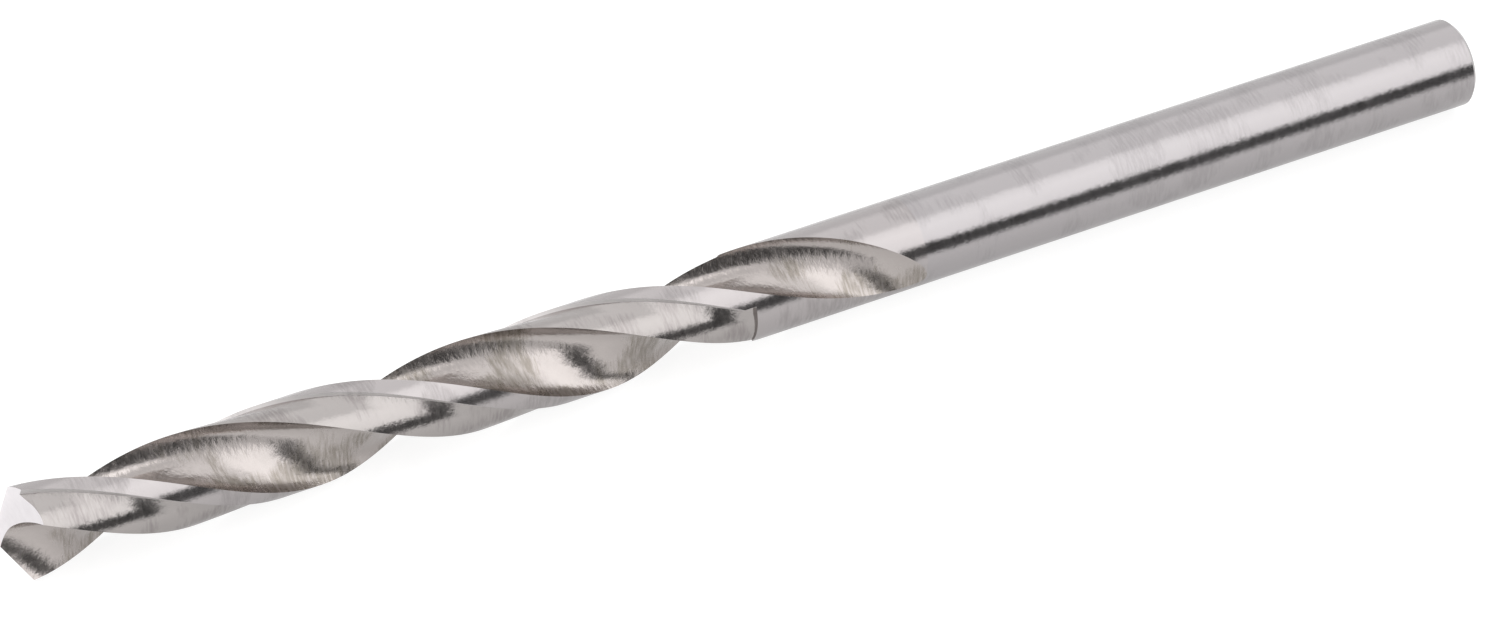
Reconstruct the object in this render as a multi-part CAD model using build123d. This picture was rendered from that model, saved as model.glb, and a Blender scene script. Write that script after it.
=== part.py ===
from build123d import *
import math
import os

# Twist drill bit, 4.5 mm, two flutes, right-hand helix, plain parallel shank.
# One solid piece of hardened high-speed steel. It is built upright, with the
# point at z = 0, and laid down along X at the end. Millimetres throughout.

# ---- driving dimensions: the whole drill ----
drill_diameter = 4.5
overall_length = 80.0
back_taper = 0.02               # how much thinner the body has become where the shank starts
shank_chamfer = 0.2

# ---- driving dimensions: the flutes ----
helix_angle = 25.0              # at the outside diameter, degrees
flute_length = 49.0             # from the point to the end of the run-out
flute_run_out = 11.5            # the last stretch, where the wheel lifts away
flute_withdrawal_angle = 63.0   # where the wheel leaves, ahead of the edge
neck_length = 1.0               # plain body between the flutes and the shank
web_at_point = 0.165 * drill_diameter
web_gain = 0.06 * drill_diameter    # the web is this much thicker at the run-out
land_angle = 76.0               # leading edge to heel, degrees

# ---- driving dimensions: the lands ----
margin_angle = 22.0             # full-diameter strip behind the leading edge
clearance_length = 37.6         # from the point to the step in the land
clearance_dwell = 0.6           # the wheel's own straight mark at the step
clearance_start_angle = 24.0    # foot of the wall behind the margin
clearance_start_depth = 0.18
clearance_flat_angle = 43.0     # the relief is flat to here, then rises to the heel in an arc
clearance_flat_depth = 0.20
heel_depth = 0.08

# ---- driving dimensions: the point ----
point_angle = 118.0
lip_relief_angle = 12.0
flank_radius = 1.0 * drill_diameter

# ---- how the drill lies: its roll about its own axis, degrees ----
lying_roll = 147.0

# ---- derived ----
radius = drill_diameter / 2
shank_radius = radius - back_taper / 2
lead = math.pi * drill_diameter / math.tan(math.radians(helix_angle))
lip_offset = web_at_point / 2
lip_reach = math.sqrt(radius ** 2 - lip_offset ** 2)
lip_slope = 1 / math.tan(math.radians(point_angle / 2))
lip_turn = math.degrees(math.asin(lip_offset / radius))
relief = math.radians(lip_relief_angle)
outside = 1.2 * radius          # cutters end here, clear of the blank
point_stock = 0.2 * drill_diameter      # spare bar ahead of the point, ground away with it
cut_start = -2 * point_stock    # helical cutters enter here, clear of the bar
body_length = flute_length + neck_length


def flank_drop(back):
    """How far the flank has fallen at a distance behind its lip."""
    return flank_radius * (math.cos(relief) - math.cos(math.asin(math.sin(relief) + back / flank_radius)))


corner_height = lip_reach * lip_slope - flank_drop(lip_offset)
flute_end = flute_length - corner_height    # heights below count from the lip corners


def polar(r, degrees):
    """A point of the cross-section. Ahead of the leading edge is positive."""
    return Vector(r * math.cos(math.radians(degrees)), -r * math.sin(math.radians(degrees)))


def rake_point(reach):
    """The flute wall that makes the lip straight, at a distance along the lip."""
    r = math.hypot(reach, lip_offset)
    twist = (lip_reach - reach) * lip_slope * 360 / lead
    return polar(r, math.degrees(math.atan2(lip_offset, reach)) - lip_turn - twist)


def flute_section():
    """Flute profile at the lip corners: rake wall, web, heel wall, closed outside the drill."""
    heel = 180 - land_angle
    points = [rake_point(share * radius) for share in (1.25, 1.0, 0.75, 0.5, 0.3)]
    points += [
        polar(1.08 * lip_offset, 84),
        polar(0.34 * radius, 117),
        polar(0.52 * radius, 116),
        polar(0.72 * radius, heel + 7),
        polar(0.96 * radius, heel),
        polar(1.25 * radius, heel - 10),
    ]
    wall = Edge.make_spline(points)
    closing = Edge.make_three_point_arc(wall @ 1, polar(1.6 * radius, heel / 2), wall @ 0)
    return Wire([wall, closing])


def flute_offset(height):
    """How far the grinding wheel stands off the axis, above its place at the point."""
    run_out_start = flute_end - flute_run_out
    taper = web_gain / 2 * max(height, 0) / run_out_start
    if height <= run_out_start:
        return taper
    reach = height - run_out_start
    lift = shank_radius - lip_offset - web_gain / 2 * flute_end / run_out_start
    wheel = (flute_run_out ** 2 + lift ** 2) / (2 * lift)
    return taper + wheel - math.sqrt(wheel ** 2 - reach ** 2)


def flute_cutter():
    """One flute: its profile turned along the helix and lifted out at the end."""
    section = flute_section()
    bottom = cut_start - corner_height
    steps = 32
    top = flute_end + 0.6
    rings = []
    for index in range(steps + 1):
        height = bottom + (top - bottom) * index / steps
        shift = polar(1, flute_withdrawal_angle) * flute_offset(height)
        ring = section.moved(Location((shift.X, shift.Y, 0)))
        rings.append(ring.moved(Location((0, 0, corner_height + height), (0, 0, 360 * height / lead))))
    return Solid.make_loft(rings)


def clearance_section():
    """Relief behind the margin: a slanted wall, a flat, and an arc that rises to the heel."""
    margin_edge = polar(radius, -margin_angle)
    foot = polar(radius - clearance_start_depth, -clearance_start_angle)
    flat_end = polar(radius - clearance_flat_depth, -clearance_flat_angle)
    heel = polar(radius - heel_depth, -land_angle)
    flat = Edge.make_line(foot, flat_end)
    rise = Edge.make_tangent_arc(flat_end, flat_end - foot, heel)
    rim = margin_edge + (margin_edge - foot)
    past = polar(outside, -land_angle - 8)
    middle = polar(outside, -(margin_angle + land_angle) / 2)
    return Wire([
        flat,
        rise,
        Edge.make_line(heel, past),
        Edge.make_three_point_arc(past, middle, rim),
        Edge.make_line(rim, foot),
    ])


def clearance_cutters():
    """The relieved back of one land: the helical cut, then the step where the wheel stopped."""
    helical = corner_height + clearance_length - clearance_dwell
    turn = 360 * (helical - cut_start) / lead
    face = Face(clearance_section()).moved(
        Location((0, 0, cut_start), (0, 0, 360 * (cut_start - corner_height) / lead)))
    ground = Solid.extrude_linear_with_rotation(
        face, center=(0, 0, cut_start), normal=(0, 0, helical - cut_start), angle=turn)
    dwell = Face(clearance_section()).moved(
        Location((0, 0, helical), (0, 0, 360 * (helical - corner_height) / lead)))
    return [ground, extrude(dwell, clearance_dwell, dir=(0, 0, 1))]


def flank_cutter():
    """What lies in front of one flank, a surface ruled along its straight lip."""
    lip = Vector(math.cos(math.radians(lip_turn)), math.sin(math.radians(lip_turn)), 0)
    back = Vector(-lip.Y, lip.X, 0)
    up = Vector(0, 0, 1)
    lip_end = lip * lip_reach - back * lip_offset + up * corner_height
    slant = lip + up * lip_slope

    def profile_point(distance):
        return lip_end + back * distance + up * flank_drop(distance)

    ahead = -0.5 * drill_diameter
    behind = 0.66 * drill_diameter
    flank = Edge.make_three_point_arc(
        profile_point(ahead), profile_point((ahead + behind) / 2), profile_point(behind))
    depth = up * -2 * drill_diameter
    outline = Wire([
        flank,
        Edge.make_line(flank @ 1, flank @ 1 + depth),
        Edge.make_line(flank @ 1 + depth, flank @ 0 + depth),
        Edge.make_line(flank @ 0 + depth, flank @ 0),
    ])
    face = Face(outline)
    start = face.moved(Location(slant * -2 * drill_diameter))
    return extrude(start, (slant * 3 * drill_diameter).length, dir=slant.normalized())


def turned_blank():
    """The bar before grinding: a body with back taper and a parallel shank with a chamfered end."""
    wide_end = Wire(Edge.make_circle(radius)).moved(Location((0, 0, -point_stock)))
    narrow_end = Wire(Edge.make_circle(shank_radius)).moved(Location((0, 0, body_length)))
    body = Solid.make_loft([wide_end, narrow_end])
    shank = Cylinder(shank_radius, overall_length - body_length, align=(Align.CENTER, Align.CENTER, Align.MIN))
    shank = chamfer(shank.edges().sort_by(Axis.Z)[-1], shank_chamfer)
    return body + shank.moved(Location((0, 0, body_length)))


def both_sides(cutters):
    """The same cutters for each of the two opposite flutes or lands."""
    half_turn = Location((0, 0, 0), (0, 0, 180))
    return [turned for cutter in cutters for turned in (cutter, cutter.moved(half_turn))]


drill = turned_blank()
drill = drill - both_sides([flank_cutter()])
drill = drill - both_sides([flute_cutter()])
drill = drill - both_sides(clearance_cutters())

lying = Location((-overall_length / 2, 0, radius), (0, 90, 0)) * Location((0, 0, 0), (0, 0, lying_roll))
drill = drill.solids()[0].moved(lying)
drill.label = "twist_drill"

os.makedirs("parts", exist_ok=True)
export_step(drill, "parts/twist_drill.step")
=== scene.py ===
import math
import bmesh
import bpy
import numpy as np
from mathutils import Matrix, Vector


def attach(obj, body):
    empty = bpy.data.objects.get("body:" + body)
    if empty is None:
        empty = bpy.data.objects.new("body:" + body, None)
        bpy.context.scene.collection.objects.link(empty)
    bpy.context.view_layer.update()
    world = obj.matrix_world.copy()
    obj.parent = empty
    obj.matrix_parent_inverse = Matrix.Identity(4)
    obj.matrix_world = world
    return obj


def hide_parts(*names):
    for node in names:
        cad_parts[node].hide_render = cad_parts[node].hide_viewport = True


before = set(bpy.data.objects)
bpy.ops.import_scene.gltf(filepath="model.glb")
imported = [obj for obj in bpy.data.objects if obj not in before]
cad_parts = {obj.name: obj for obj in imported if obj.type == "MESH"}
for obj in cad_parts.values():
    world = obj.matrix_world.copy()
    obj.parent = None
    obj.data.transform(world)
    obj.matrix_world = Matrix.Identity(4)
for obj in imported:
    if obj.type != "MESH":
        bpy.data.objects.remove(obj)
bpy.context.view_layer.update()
print("frame loaded")


def toLinear(hexColour):    # sRGB hex to linear RGBA
    parts = [int(hexColour[i:i + 2], 16) / 255 for i in (1, 3, 5)]
    return [p / 12.92 if p <= 0.04045 else ((p + 0.055) / 1.055) ** 2.4 for p in parts] + [1.0]


def addNode(tree, kind, settings=None, links=None):
    node = tree.nodes.new(kind)
    for key, value in (settings or {}).items():
        if isinstance(key, int) or key in node.inputs:
            node.inputs[key].default_value = value
        else:
            setattr(node, key, value)
    for key, source in (links or {}).items():
        tree.links.new(source, node.inputs[key])
    return node


cameraSet = {
    "place": (-0.141586, -0.253784, 0.215268),
    "forward": (0.39186, 0.70273, -0.59382),
    "lens": 178.8,      # millimetres, on a 36 mm wide sensor
    "sensor": 36.0,
}


def makeCamera(s):
    data = bpy.data.cameras.new("camera")
    data.lens = s["lens"]
    data.sensor_width = s["sensor"]
    data.clip_start = 0.01
    data.clip_end = 20.0
    camera = bpy.data.objects.new("camera", data)
    bpy.context.scene.collection.objects.link(camera)
    camera.location = s["place"]
    camera.rotation_euler = Vector(s["forward"]).to_track_quat("-Z", "Y").to_euler()
    bpy.context.scene.camera = camera


makeCamera(cameraSet)
print("camera placed")


studioSet = {
    "floorHalf": 0.9,           # metres
    "floorColour": "#858584",   # opal acrylic sheet of a light table
    "floorGlow": 0.86,          # light from below, which keeps shadows faint
    "floorGlowOnDrill": 0.60,   # what of it the steel mirrors
    "floorRoughness": 0.30,
    "floorSheen": (0.72, 0.93),     # how flat a ray has to be before the sheet turns into a mirror
    "mirrorColour": (0.9, 0.9, 0.9, 1.0),       # what that mirror gives back, linear
    "mirrorRoughness": 0.1,
    "backdrop": "#FFFFFF",
    # brightness of the room around the bench: degrees up from the front, over the top and down the back
    "room": [(-180, 1.00), (-8, 1.00), (-1, 0.08), (14, 0.08), (24, 1.62), (60, 1.78), (78, 1.66), (88, 1.22),
             (134, 1.26), (146, 0.98), (180, 0.98)],
    "roomTop": 2.0,             # brightness at the top of the curve
    "middle": 0.85,             # brightness between the two lamps
    "middleEdge": (0.02, 0.26),     # share of the direction that points right, where the right lamp begins
    "leftRoom": [(-180, 0.06), (70, 0.06), (94, 2.10), (180, 2.10)],   # dark in front, lamp above
    "leftRoomTop": 2.2,
    "leftRoomEdge": (0.10, 0.26),   # share that points left
    "leftLamp": 1.15,           # brightness of the big soft lamp to the left
    "leftLampEdge": (0.50, 0.68),
}


def makeFloor(s):
    half = s["floorHalf"]
    mesh = bpy.data.meshes.new("floor")
    corners = [(-half, -half, 0), (half, -half, 0), (half, half, 0), (-half, half, 0)]
    mesh.from_pydata(corners, [], [(0, 1, 2, 3)])
    floor = bpy.data.objects.new("floor", mesh)
    bpy.context.scene.collection.objects.link(floor)
    # opal acrylic: evenly bright from above, and a mirror at grazing angles
    material = bpy.data.materials.new("opalAcrylicSheet")
    material.use_nodes = True
    tree = material.node_tree
    shader = tree.nodes["Principled BSDF"]
    shader.inputs["Base Color"].default_value = toLinear(s["floorColour"])
    shader.inputs["Roughness"].default_value = s["floorRoughness"]
    shader.inputs["Emission Color"].default_value = (1.0, 1.0, 1.0, 1.0)
    seen = addNode(tree, "ShaderNodeLightPath")
    glow = addNode(tree, "ShaderNodeMapRange", {3: s["floorGlowOnDrill"], 4: s["floorGlow"]}, {
        0: seen.outputs["Is Camera Ray"]})
    tree.links.new(glow.outputs[0], shader.inputs["Emission Strength"])
    flat = addNode(tree, "ShaderNodeLayerWeight")
    sheen = addNode(tree, "ShaderNodeMapRange", {1: s["floorSheen"][0], 2: s["floorSheen"][1]}, {
        0: flat.outputs["Facing"]})
    mirror = addNode(tree, "ShaderNodeBsdfGlossy", {
        "Color": s["mirrorColour"], "Roughness": s["mirrorRoughness"]})
    mix = addNode(tree, "ShaderNodeMixShader", links={
        0: sheen.outputs[0], 1: shader.outputs[0], 2: mirror.outputs[0]})
    tree.links.new(mix.outputs[0], tree.nodes["Material Output"].inputs["Surface"])
    mesh.materials.append(material)


def roomCurve(tree, stops, top, share):     # brightness around the bench from a list of degrees and levels
    ramp = addNode(tree, "ShaderNodeFloatCurve", links={1: share})
    curve = ramp.mapping.curves[0]
    while len(curve.points) < len(stops):
        curve.points.new(0.5, 0.5)
    for point, (degrees, level) in zip(curve.points, stops):
        point.location = (degrees + 180) / 360, level / top
        point.handle_type = "VECTOR"
    ramp.mapping.update()
    return addNode(tree, "ShaderNodeMath", {"operation": "MULTIPLY", 1: top}, {0: ramp.outputs[0]}).outputs[0]


def makeWorld(s):
    world = bpy.data.worlds.new("studio")
    bpy.context.scene.world = world
    world.use_nodes = True
    tree = world.node_tree
    output = tree.nodes["World Output"]
    direction = addNode(tree, "ShaderNodeSeparateXYZ", links={
        0: addNode(tree, "ShaderNodeTexCoord").outputs["Generated"]})
    front = addNode(tree, "ShaderNodeMath", {"operation": "MULTIPLY", 1: -1.0}, {0: direction.outputs["Y"]})
    angle = addNode(tree, "ShaderNodeMath", {"operation": "ARCTAN2"}, {
        0: direction.outputs["Z"], 1: front.outputs[0]})
    share = addNode(tree, "ShaderNodeMapRange", {1: -math.pi, 2: math.pi}, {0: angle.outputs[0]}).outputs[0]
    level = roomCurve(tree, s["room"], s["roomTop"], share)
    leftRoom = roomCurve(tree, s["leftRoom"], s["leftRoomTop"], share)
    zones = [(s["middleEdge"][1], s["middleEdge"][0], s["middle"]),
             (-s["leftRoomEdge"][0], -s["leftRoomEdge"][1], leftRoom),
             (-s["leftLampEdge"][0], -s["leftLampEdge"][1], s["leftLamp"])]
    for begins, full, other in zones:   # from right to left, each zone lies over the one before
        part = addNode(tree, "ShaderNodeMapRange", {"interpolation_type": "SMOOTHSTEP", 1: begins, 2: full}, {
            0: direction.outputs["X"]})
        mixed = addNode(tree, "ShaderNodeMix", {"data_type": "FLOAT"}, {0: part.outputs[0], 2: level})
        if isinstance(other, float):
            mixed.inputs[3].default_value = other
        else:
            tree.links.new(other, mixed.inputs[3])
        level = mixed.outputs[0]
    lit = addNode(tree, "ShaderNodeBackground", {"Color": (1.0, 1.0, 1.0, 1.0)}, {"Strength": level})
    plain = addNode(tree, "ShaderNodeBackground", {"Color": toLinear(s["backdrop"])})
    seen = addNode(tree, "ShaderNodeLightPath")
    mix = addNode(tree, "ShaderNodeMixShader", links={
        0: seen.outputs["Is Camera Ray"], 1: lit.outputs[0], 2: plain.outputs[0]})
    tree.links.new(mix.outputs[0], output.inputs["Surface"])


makeFloor(studioSet)
makeWorld(studioSet)
bpy.context.scene.view_settings.view_transform = "Standard"
print("studio ready")


# the drill as it was ground, in millimetres and degrees; angles count from the leading edge
diameter = 4.5
drill = {
    "length": 80.0,
    "backTaper": 0.02,          # how much thinner the body has become where the shank starts
    "chamfer": 0.2,
    "helixAngle": 25.0,
    "fluteLength": 49.0,
    "runOut": 11.5,             # where the grinding wheel lifts away
    "withdrawal": 63.0,         # direction in which it leaves
    "neck": 1.0,
    "web": 0.165 * diameter,
    "webGain": 0.06 * diameter,
    "land": 76.0,
    "margin": 22.0,
    "clearance": 37.6,          # from the point to the step in the land
    "dwell": 0.6,               # the wheel's own straight mark at the step
    "foot": (24.0, 0.18),       # angle and depth where the wall behind the margin ends
    "flatEnd": (43.0, 0.20),    # where the flat of the relief turns into an arc
    "heelDepth": 0.08,
    "pointAngle": 118.0,
    "lipRelief": 12.0,
    "flankRadius": 1.0 * diameter,
    "pointStock": 0.2 * diameter,   # spare bar ahead of the point, ground away with it
    "roll": 147.0,              # how it lies
    # the flute's profile on the body, in radii, from ahead of the edge round to the heel
    "bowl": [(1.24, -0.035), (1.0, 0.0), (0.768, 0.025), (0.53, -0.036), (0.355, -0.108), (0.07, -0.27),
             (-0.09, -0.38), (-0.20, -0.51), (-0.257, -0.675), (-0.232, -0.932), (-0.087, -1.247)],
    "bowlFrom": 1.5,            # millimetres from the point
    "bowlFull": 6.0,
}
meshSet = {
    # mesh strips across the margin, its wall, the relief's flat and rise, and each half of a flute
    "marginCuts": 8,
    "wallCuts": 1,
    "flatCuts": 10,
    "riseCuts": 16,
    "fluteCuts": 30,
    "linePoints": 1500,         # along the flute's profile, before its crossings with the bar are found
    "tipRows": 18,              # rows between the point and the first ring straight across
    "straightCut": 2.6,         # millimetres from the point to that ring
    "bodyStep": 0.22,           # millimetres between rows
    "closingRows": 1.6,         # how much closer they are where the flute ends, and how they crowd there
    "closingPower": 1.7,
    "tipTable": 0.05,           # millimetres between the sections worked out for the point
    "stepRows": 3,              # where the land's wheel stood still, and then along the shank
    "shankRows": 6,
    "rounds": 60,               # of settling the lines onto the flanks
    "halvings": 50,             # of the stretch in which the flute's end is looked for
    "justShort": 1e-6,          # millimetres before that end, where it is still open
    "inset": 0.002,             # millimetres the mesh stays inside the solid
    "joined": 1e-4,             # millimetres within which points are one
    "sharp": 30.0,              # degrees between faces from which an edge is sharp
}

radius = diameter / 2
shankRadius = radius - drill["backTaper"] / 2
lead = math.pi * diameter / math.tan(math.radians(drill["helixAngle"]))
lipOffset = drill["web"] / 2
lipReach = math.sqrt(radius ** 2 - lipOffset ** 2)
lipSlope = 1 / math.tan(math.radians(drill["pointAngle"] / 2))
lipTurn = math.degrees(math.asin(lipOffset / radius))
relief = math.radians(drill["lipRelief"])
bodyLength = drill["fluteLength"] + drill["neck"]


def flankDrop(back):
    tilt = np.arcsin(math.sin(relief) + back / drill["flankRadius"])
    return drill["flankRadius"] * (math.cos(relief) - np.cos(tilt))


cornerHeight = lipReach * lipSlope - flankDrop(lipOffset)
fluteEnd = drill["fluteLength"] - cornerHeight
runOutStart = fluteEnd - drill["runOut"]
helicalEnd = cornerHeight + drill["clearance"] - drill["dwell"]
stepHeight = cornerHeight + drill["clearance"]


def polar(r, ahead):        # a point of the cross-section, degrees ahead of the leading edge
    angle = np.radians(ahead)
    return np.stack([r * np.cos(angle), -r * np.sin(angle)], axis=-1)


def barRadius(z):
    share = (z + drill["pointStock"]) / (bodyLength + drill["pointStock"])
    return radius + (shankRadius - radius) * np.clip(share, 0, 1)


def rakePoint(reach):       # the flute wall that makes the lip straight
    twist = (lipReach - reach) * lipSlope * 360 / lead
    return polar(np.hypot(reach, lipOffset), np.degrees(np.arctan2(lipOffset, reach)) - lipTurn - twist)


def splineThrough(points, count):   # natural cubic spline, spaced by chord length
    points = np.array(points)
    chord = np.linalg.norm(np.diff(points, axis=0), axis=1)
    knots = np.concatenate([[0], np.cumsum(chord)])
    size = len(points)
    system = np.eye(size)
    slopes = np.zeros((size, 2))
    for i in range(1, size - 1):
        system[i, i - 1:i + 2] = chord[i - 1], 2 * (chord[i - 1] + chord[i]), chord[i]
        slopes[i] = 6 * ((points[i + 1] - points[i]) / chord[i] - (points[i] - points[i - 1]) / chord[i - 1])
    bend = np.linalg.solve(system, slopes)
    t = np.linspace(0, knots[-1], count)
    k = np.clip(np.searchsorted(knots, t, side="right") - 1, 0, size - 2)
    a = ((knots[k + 1] - t) / chord[k])[:, None]
    b = 1 - a
    width = chord[k][:, None]
    return (a * points[k] + b * points[k + 1]
            + ((a ** 3 - a) * bend[k] + (b ** 3 - b) * bend[k + 1]) * width ** 2 / 6)


def fluteLine(z):       # straight lips at the point, a rounder bowl further up
    heel = 180 - drill["land"]
    tip = [rakePoint(share * radius) for share in (1.25, 1.0, 0.75, 0.5, 0.3)]
    tip += [polar(1.08 * lipOffset, 84), polar(0.34 * radius, 117), polar(0.52 * radius, 116),
            polar(0.72 * radius, heel + 7), polar(0.96 * radius, heel), polar(1.25 * radius, heel - 10)]
    bowl = np.array(drill["bowl"]) * radius
    share = np.clip((z - drill["bowlFrom"]) / (drill["bowlFull"] - drill["bowlFrom"]), 0, 1)
    share = share * share * (3 - 2 * share)
    return splineThrough(np.array(tip) * (1 - share) + bowl * share, meshSet["linePoints"])


withdrawal = polar(1, drill["withdrawal"])


def fluteOffset(height):    # how far the wheel stands off its place at the point
    taper = drill["webGain"] / 2 * max(height, 0) / runOutStart
    if height <= runOutStart:
        return taper
    lift = shankRadius - lipOffset - drill["webGain"] / 2 * fluteEnd / runOutStart
    wheel = (drill["runOut"] ** 2 + lift ** 2) / (2 * lift)
    return taper + wheel - math.sqrt(wheel ** 2 - (height - runOutStart) ** 2)


# the relief's outline: a wall from the margin's edge to its foot, a flat, and an arc that rises to the heel
marginEdge = polar(radius, -drill["margin"])
foot = polar(radius - drill["foot"][1], -drill["foot"][0])
flatEnd = polar(radius - drill["flatEnd"][1], -drill["flatEnd"][0])
heelPoint = polar(radius - drill["heelDepth"], -drill["land"])
inward = np.array([foot[1] - flatEnd[1], flatEnd[0] - foot[0]])
inward *= -np.sign(inward @ flatEnd) / np.linalg.norm(inward)
riseRadius = (heelPoint - flatEnd) @ (heelPoint - flatEnd) / (2 * (heelPoint - flatEnd) @ inward)
riseCentre = flatEnd + inward * riseRadius


def lineRadius(behind, start, end):     # a straight line in polar form
    across = np.array([start[1] - end[1], end[0] - start[0]])
    return (across @ start) / (across @ np.stack([np.cos(np.radians(behind)), np.sin(np.radians(behind))]))


def reliefRadius(behind):
    direction = np.stack([np.cos(np.radians(behind)), np.sin(np.radians(behind))])
    along = riseCentre @ direction
    rise = along + np.sqrt(np.maximum(riseRadius ** 2 - riseCentre @ riseCentre + along ** 2, 0))
    cut = np.where(behind < drill["flatEnd"][0], lineRadius(behind, foot, flatEnd), rise)
    cut = np.where(behind < drill["foot"][0], lineRadius(behind, marginEdge, foot), cut)
    return np.where(behind < drill["margin"], 2 * radius, cut)     # the margin keeps the bar's surface


def landRadius(behind, z, relieved):
    shift = max(z - helicalEnd, 0) * 360 / lead
    bar = barRadius(z) + 0 * behind
    return np.minimum(bar, reliefRadius(behind + shift)) if relieved else bar


def crossing(value, first):     # where a row of numbers changes sign, as a fraction of an index
    inside = np.flatnonzero(value < 0)
    i = inside[0] - 1 if first else inside[-1]
    return i + value[i] / (value[i] - value[i + 1])


def flutePoint(curve, t):
    index = np.arange(len(curve))
    return np.stack([np.interp(t, index, curve[:, 0]), np.interp(t, index, curve[:, 1])], axis=-1)


def aheadOf(point):
    return np.degrees(np.arctan2(-point[..., 1], point[..., 0]))


def fluteAt(z, relieved):   # the wheel's line at a height, and where it crosses the bar and the land
    curve = fluteLine(z) + withdrawal * fluteOffset(z - cornerHeight)
    reach = np.hypot(curve[:, 0], curve[:, 1])
    bar = barRadius(z)
    if reach.min() >= bar:
        return None
    rake = crossing(reach - bar, True)
    heel = crossing(reach - bar, False)
    cut = crossing(reach - landRadius(180 - aheadOf(curve), z, True), False) if relieved else None
    return curve, rake, heel, cut


def turned(points, z):      # along the helix
    angle = np.radians(360 * (np.minimum(z, fluteTip) - cornerHeight) / lead)
    x, y = points[..., 0], points[..., 1]
    return np.stack([x * np.cos(angle) - y * np.sin(angle), x * np.sin(angle) + y * np.cos(angle)], axis=-1)


def flankHeights(points):   # both flanks over a point across the drill
    turn = math.radians(lipTurn)
    along = points @ np.array([math.cos(turn), math.sin(turn)])
    back = points @ np.array([-math.sin(turn), math.cos(turn)])
    return [cornerHeight + lipSlope * (side * along - lipReach) + flankDrop(side * back + lipOffset)
            for side in (1, -1)]


def settleOnFlanks(points):     # heights where lines that follow the helix come out on the point
    z = np.zeros(len(points))
    for _ in range(meshSet["rounds"]):
        z = np.maximum(*flankHeights(turned(points, z)))
    return z


def findFluteTip():
    low, high = runOutStart, fluteEnd + 3
    for _ in range(meshSet["halvings"]):
        middle = (low + high) / 2
        low, high = (low, middle) if fluteAt(middle + cornerHeight, False) is None else (middle, high)
    return low + cornerHeight


fluteTip = findFluteTip()

# shares along the flute, from the leading edge to the heel, with the chisel edge's corner in the middle
line, rakeAt, _, cutAt = fluteAt(cornerHeight, True)
starts = settleOnFlanks(line)
first, second = flankHeights(turned(line, starts))
wallIndex = np.arange(len(line))
onWall = (wallIndex > rakeAt) & (wallIndex < cutAt)
chiselShare = (crossing(np.where(onWall, second - first, 1.0), False) - rakeAt) / (cutAt - rakeAt)
cuts = meshSet["fluteCuts"]
fluteShares = np.concatenate([
    np.linspace(0, chiselShare, cuts + 1), np.linspace(chiselShare, 1, cuts + 1)[1:]])
landCuts = meshSet["marginCuts"] + meshSet["wallCuts"] + meshSet["flatCuts"] + meshSet["riseCuts"]
halfCount = landCuts + 1 + 2 * cuts


def reliefAngles(start, end, shift):    # behind the leading edge, with the relief's own corners among them
    corners = [start] + [a - shift for a in (drill["margin"], drill["foot"][0], drill["flatEnd"][0])] + [end]
    counts = [meshSet[name] for name in ("marginCuts", "wallCuts", "flatCuts", "riseCuts")]
    parts = [np.linspace(a, b, n, endpoint=False) for a, b, n in zip(corners, corners[1:], counts)]
    return np.concatenate(parts + [[end]])


def halfRing(z, relieved):      # one land and the flute behind it, in the turned section
    found = None if z >= fluteTip else fluteAt(z, relieved)
    if found is None:
        start = -aheadOf(lastOpen)
        angles = start + landShares * 180
        land = polar(barRadius(z), -angles)
        return np.concatenate([land, np.repeat(land[-1:], halfCount - len(land), axis=0)])
    curve, rake, heel, cut = found
    start = -aheadOf(flutePoint(curve, rake))
    if relieved:
        end = 180 - aheadOf(flutePoint(curve, cut))
        angles = reliefAngles(start, end, max(z - helicalEnd, 0) * 360 / lead)
    else:
        cut = rake + keptShare * (heel - rake)
        angles = start + landShares * (180 - aheadOf(flutePoint(curve, heel)) - start)
    land = polar(1, -angles) * landRadius(angles, z, relieved)[:, None]
    wall = -flutePoint(curve, rake + fluteShares[:0:-1] * (cut - rake))
    return np.concatenate([land, wall])


# at the step the land's strips keep their places, and beyond it their shares of the land
curve, rake, heel, cut = fluteAt(stepHeight, True)
keptShare = (cut - rake) / (heel - rake)
stepStart = -aheadOf(flutePoint(curve, rake))
stepAngles = reliefAngles(stepStart, 180 - aheadOf(flutePoint(curve, cut)), drill["dwell"] * 360 / lead)
stepEnd = 180 - aheadOf(flutePoint(curve, heel))
edge = stepAngles[meshSet["marginCuts"]]
stretch = np.where(stepAngles > edge, (stepEnd - edge) / (stepAngles[-1] - edge), 1.0)
landShares = (edge + (stepAngles - edge) * stretch - stepStart) / (stepEnd - stepStart)
curve, rake, heel, _ = fluteAt(fluteTip - meshSet["justShort"], False)
lastOpen = flutePoint(curve, (rake + heel) / 2)


def lyingDown(points, z):       # from the upright drill to the table, in metres
    x, y = points.T * (1 - meshSet["inset"] / radius)
    roll = math.radians(drill["roll"])
    across, up = x * math.sin(roll) + y * math.cos(roll), x * math.cos(roll) - y * math.sin(roll)
    return np.stack([z - drill["length"] / 2 + 0 * x, across, radius - up], axis=-1) / 1000


def wholeRing(half):
    return np.concatenate([half, -half])


def tipLines():      # every line of the mesh near the point, by height, and where it ends on the flanks
    step = meshSet["tipTable"]
    heights = np.arange(-2 * step, meshSet["straightCut"] + 2 * step, step)
    rings = np.array([wholeRing(halfRing(z, True)) for z in heights])
    column = np.arange(rings.shape[1])

    def along(z):
        k = np.clip(((z - heights[0]) / step).astype(int), 0, len(heights) - 2)
        share = ((z - heights[k]) / step)[:, None]
        return rings[k, column] * (1 - share) + rings[k + 1, column] * share

    z = np.zeros(len(column))
    for _ in range(meshSet["rounds"]):
        z = np.maximum(*flankHeights(turned(along(z), z)))
    return along, z


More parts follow.
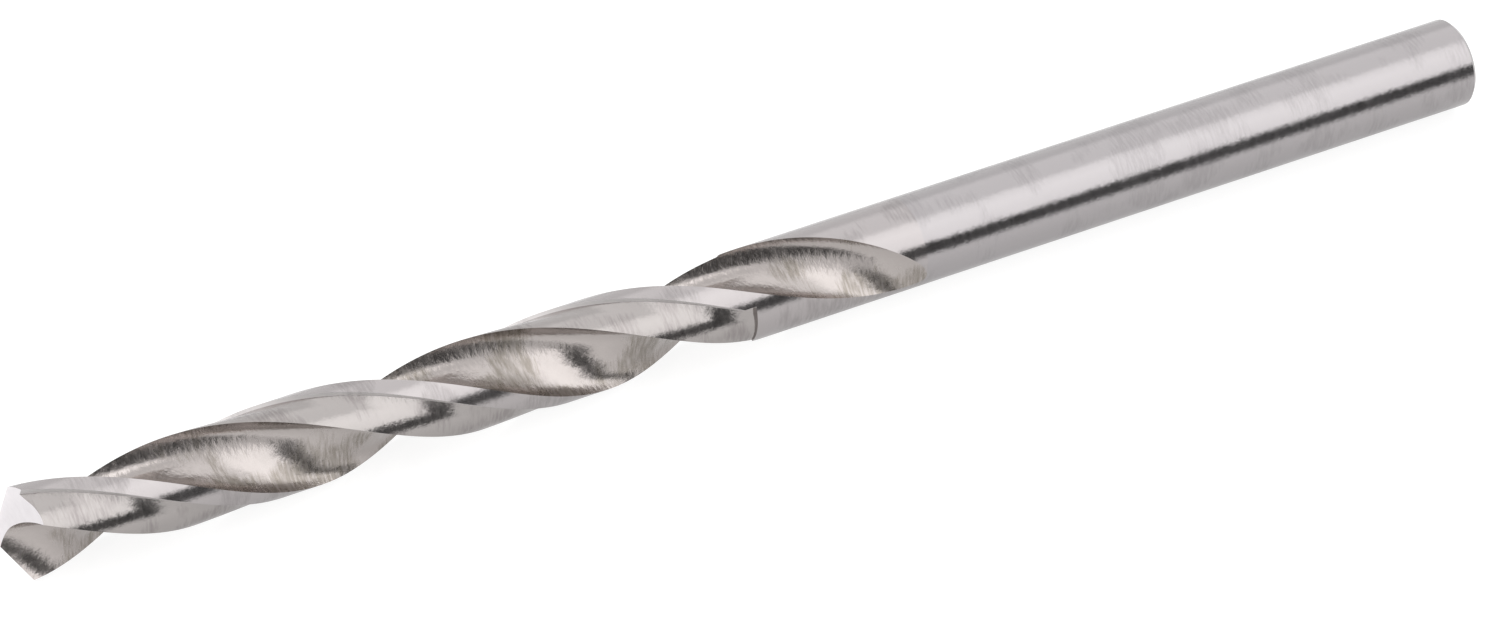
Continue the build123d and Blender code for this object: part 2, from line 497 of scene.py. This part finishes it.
def buildRows():
    straight = meshSet["straightCut"]
    rows = []       # points, and what the bar is there
    along, ends = tipLines()
    for share in np.linspace(0, 1, meshSet["tipRows"], endpoint=False):
        height = ends + (straight - ends) * share
        rows.append((lyingDown(turned(along(height), height), height), "relieved"))

    def addRows(heights, stage):
        for z in heights:
            ring = turned(wholeRing(halfRing(z, stage == "relieved")), z)
            rows.append((lyingDown(ring, z), stage))

    addRows(np.linspace(straight, helicalEnd, int((helicalEnd - straight) / meshSet["bodyStep"])), "relieved")
    addRows(np.linspace(helicalEnd, stepHeight, meshSet["stepRows"] + 1)[1:], "relieved")
    left = fluteTip - stepHeight
    crowding = np.linspace(1, 0, int(left / meshSet["bodyStep"] * meshSet["closingRows"]), endpoint=False)
    addRows(stepHeight + left * (1 - crowding ** meshSet["closingPower"]), "plain")
    addRows([fluteTip], "shank")
    addRows(np.linspace(bodyLength, drill["length"] - drill["chamfer"], meshSet["shankRows"]), "shank")
    end = turned(wholeRing(halfRing(drill["length"], False)), drill["length"])
    rows.append((lyingDown(end * (1 - drill["chamfer"] / shankRadius), drill["length"]), "shank"))
    return rows, turned(along(ends), ends)


def flankGrid(tips, half):      # from the land's outline to the chisel edge, between lip and heel
    count = len(tips)
    ring = (np.arange(count) + half * halfCount) % count
    outline = tips[ring[:landCuts + 1]]
    lip = tips[ring[-np.arange(cuts + 1)]]
    heelSide = tips[ring[landCuts + 1:landCuts + 2 + cuts]]
    u = np.linspace(0, 1, landCuts + 1)
    turn = math.radians(lipTurn)
    lipAlong = np.array([math.cos(turn), math.sin(turn)]) * (1 - 2 * half)
    lipBack = np.array([-math.sin(turn), math.cos(turn)]) * (1 - 2 * half)
    back = (lip[-1] @ lipBack) * (1 - u) + (heelSide[-1] @ lipBack) * u
    along = (flankDrop(lipOffset - back) - flankDrop(lipOffset + back)) / (2 * lipSlope)
    chisel = along[:, None] * lipAlong + back[:, None] * lipBack
    u = u[:, None]
    rows = []
    for j in range(1, cuts + 1):
        v = j / cuts
        row = (1 - v) * outline + v * chisel + (1 - u) * lip[j] + u * heelSide[j]
        row -= (1 - v) * ((1 - u) * outline[0] + u * outline[-1]) + v * ((1 - u) * chisel[0] + u * chisel[-1])
        rows.append(row)
    return np.array(rows)


finishNames = ["margin", "wall", "relief", "flute", "flank", "shank"]


def finishOf(column, stage):
    if column >= landCuts:
        return "flute"
    if stage != "relieved":
        return "shank" if stage == "shank" else "margin"
    if column < meshSet["marginCuts"]:
        return "margin"
    return "wall" if column < meshSet["marginCuts"] + meshSet["wallCuts"] else "relief"


def buildDrill():
    rows, tips = buildRows()
    count = 2 * halfCount
    points = [tuple(point) for row, _ in rows for point in row]
    faces, finishes, sharp = [], [], []
    for k, (_, stage) in enumerate(rows[:-1]):
        for c in range(count):
            a, b = k * count + c, k * count + (c + 1) % count
            faces.append((a, b, b + count, a + count))
            finishes.append(finishOf(c % halfCount, stage))
            if stage == "plain" and c % halfCount in (0, landCuts):
                sharp.append((a, a + count))
    last = (len(rows) - 1) * count
    faces.append(tuple(range(last, last + count)))
    finishes.append("shank")
    for half in (0, 1):
        flank = flankGrid(tips, half).reshape(-1, 2)
        base = len(points)
        points += [tuple(point) for point in lyingDown(flank, np.maximum(*flankHeights(flank)))]
        above = [(half * halfCount + i) % count for i in range(landCuts + 1)]
        for j in range(cuts):
            below = [base + j * (landCuts + 1) + i for i in range(landCuts + 1)]
            for i in range(landCuts):
                faces.append((above[i], below[i], below[i + 1], above[i + 1]))
                finishes.append("flank")
            above = below
    mesh = bpy.data.meshes.new("twistDrill")
    mesh.from_pydata(points, [], faces)
    for polygon, finish in zip(mesh.polygons, finishes):
        polygon.material_index = finishNames.index(finish)
        polygon.use_smooth = True
    return mesh, sharp


def joinDrill(mesh, sharp):     # closes the seams and marks the sharp edges
    work = bmesh.new()
    work.from_mesh(mesh)
    work.verts.ensure_lookup_table()
    for a, b in sharp:
        work.edges.get((work.verts[a], work.verts[b])).smooth = False
    bmesh.ops.remove_doubles(work, verts=work.verts, dist=meshSet["joined"] / 1000)
    bmesh.ops.recalc_face_normals(work, faces=work.faces)
    for edge in work.edges:
        if edge.calc_face_angle(0.0) > math.radians(meshSet["sharp"]):
            edge.smooth = False
    work.to_mesh(mesh)
    work.free()


mesh, sharpEdges = buildDrill()
joinDrill(mesh, sharpEdges)
piece = bpy.data.objects.new("drill", mesh)
bpy.context.scene.collection.objects.link(piece)
print("drill built,", len(mesh.polygons), "faces")

# High-speed steel, hardened and ground bright. The wheel's scratches run round the drill, across its axis.
# They make the steel a blurred mirror with ragged edges to every reflection, cooler where the grit was fine.
steelSet = {
    "streak": (0.14, 0.9),      # millimetres along and around; real scratches are ten times finer
    "mottle": (0.26, 0.42),     # where the wheel bit deeper, drawn coarser and deeper than it is
    "cloud": 2.5,               # patches in which the scratches are dull or bright
    "detail": 3.0,
    "grainRoughness": 0.6,
    "patch": (0.4, 0.6, 0.2),   # cloud levels between which scratches fade in, and what is left outside
    "scratched": (0.3, 0.6),    # from clean steel to the darker colour
    "uneven": (0.7, 1.3),       # mottle and cloud together, over which the roughness spreads
}
finishSet = {
    # colour, darker colour in the scratches, roughness and its spread,
    # depth of the scratches and of the mottle in micrometres
    "margin": ("#B1ACAC", "#A29D9D", 0.18, 0.05, 1.0, 12.0),   # ground round the bar: a clear, cool mirror
    "wall": ("#DAD6D5", "#CFCBCA", 0.60, 0.05, 1.0, 1.0),      # the wheel's corner: dull, and painted pale, a painted light over the dark the step would reflect
    "relief": ("#ACA7A5", "#999392", 0.18, 0.06, 2.5, 20.0),   # ground coarser: dark hooks with ragged edges
    "flute": ("#BBB4B1", "#979089", 0.24, 0.09, 3.0, 20.0),    # ground deep: warm, with soft bands
    "flank": ("#E0DCDE", "#DAD6D8", 0.34, 0.03, 0.4, 2.0),     # the point, ground dry and even; painted nearly white, a painted reflection of the big left lamp
    "shank": ("#AEAAAB", "#A5A1A2", 0.17, 0.05, 0.5, 14.0),    # ground between wheels: smooth and cool
}


def makeGroundSteel(name, finish, s):
    colour, scratchColour, roughness, spread, scratch, bite = finish
    material = bpy.data.materials.new(name + "GroundSteel")
    material.use_nodes = True
    tree = material.node_tree
    shader = tree.nodes["Principled BSDF"]
    shader.inputs["Metallic"].default_value = 1.0
    place = addNode(tree, "ShaderNodeTexCoord").outputs["Object"]

    def grain(along, around, detail):   # noise stretched round the drill, scaled from millimetres
        scaled = addNode(tree, "ShaderNodeMapping", {
            "Scale": (1000 / along, 1000 / around, 1000 / around)}, {0: place})
        return addNode(tree, "ShaderNodeTexNoise", {
            "Scale": 1.0, "Detail": detail, "Roughness": s["grainRoughness"]}, {
                "Vector": scaled.outputs[0]}).outputs[0]

    streak = grain(*s["streak"], s["detail"])
    mottle = grain(*s["mottle"], s["detail"])
    cloud = grain(s["cloud"], s["cloud"], 1.0)
    begins, full, least = s["patch"]
    patch = addNode(tree, "ShaderNodeMapRange", {1: begins, 2: full, 3: least, 4: 1.0}, {0: cloud})
    scratched = addNode(tree, "ShaderNodeMath", {"operation": "MULTIPLY"}, {0: streak, 1: patch.outputs[0]})
    clean, dark = s["scratched"]
    depth = addNode(tree, "ShaderNodeMapRange", {1: clean, 2: dark, 3: 1.0, 4: 0.0}, {
        0: scratched.outputs[0]})
    tint = addNode(tree, "ShaderNodeMix", {
        "data_type": "RGBA", 6: toLinear(scratchColour), 7: toLinear(colour)}, {0: depth.outputs[0]})
    tree.links.new(tint.outputs[2], shader.inputs["Base Color"])
    uneven = addNode(tree, "ShaderNodeMath", {"operation": "ADD"}, {0: mottle, 1: cloud})
    low, high = s["uneven"]
    rough = addNode(tree, "ShaderNodeMapRange", {
        1: low, 2: high, 3: roughness - spread, 4: roughness + spread}, {0: uneven.outputs[0]})
    tree.links.new(rough.outputs[0], shader.inputs["Roughness"])
    fine = addNode(tree, "ShaderNodeBump", {"Strength": 1.0, "Distance": scratch / 1e6}, {
        "Height": scratched.outputs[0]})
    both = addNode(tree, "ShaderNodeBump", {"Strength": 1.0, "Distance": bite / 1e6}, {
        "Height": mottle, "Normal": fine.outputs[0]})
    tree.links.new(both.outputs[0], shader.inputs["Normal"])
    return material


for name in finishNames:
    mesh.materials.append(makeGroundSteel(name, finishSet[name], steelSet))
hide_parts("twist_drill")
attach(piece, "root")
print("finishes ready")
